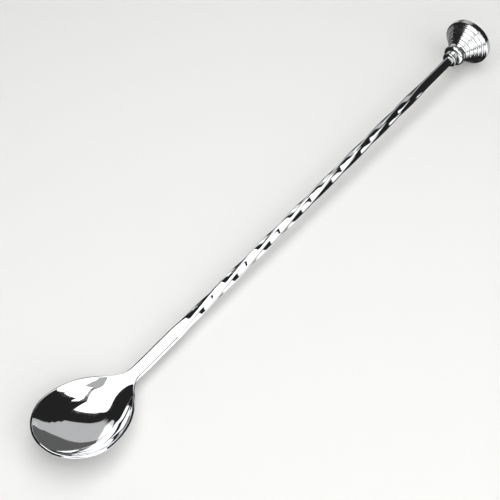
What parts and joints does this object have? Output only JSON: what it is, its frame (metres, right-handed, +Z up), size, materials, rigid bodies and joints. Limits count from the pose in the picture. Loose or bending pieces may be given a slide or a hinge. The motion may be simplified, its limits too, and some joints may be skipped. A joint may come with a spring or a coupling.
{
  "type": "bar spoon",
  "caption": "Long mixing spoon with an egg-shaped bowl, a left-hand twisted square shank and a turned conical muddler head with a flat round face.",
  "frame": {"origin": "on the surface the spoon lies on, under the middle of its overall length and width", "axes": "+X from the bowl to the muddler head, +Z up out of the bowl; the shank climbs 1.7 degrees towards +X, because the spoon rests on the bowl's keel and the head's rim"},
  "size_m": [0.2802, 0.0338, 0.0223],
  "materials": {
    "polished_steel": "mirror-polished stainless steel with fine buffing marks",
    "turned_steel": "bright turned stainless steel with fine concentric tool rings"
  },
  "bodies": {
    "root": {"bowl": "polished_steel", "twisted_shank": "polished_steel", "collar": "turned_steel", "muddler_head": "turned_steel"}
  },
  "joints": []
}
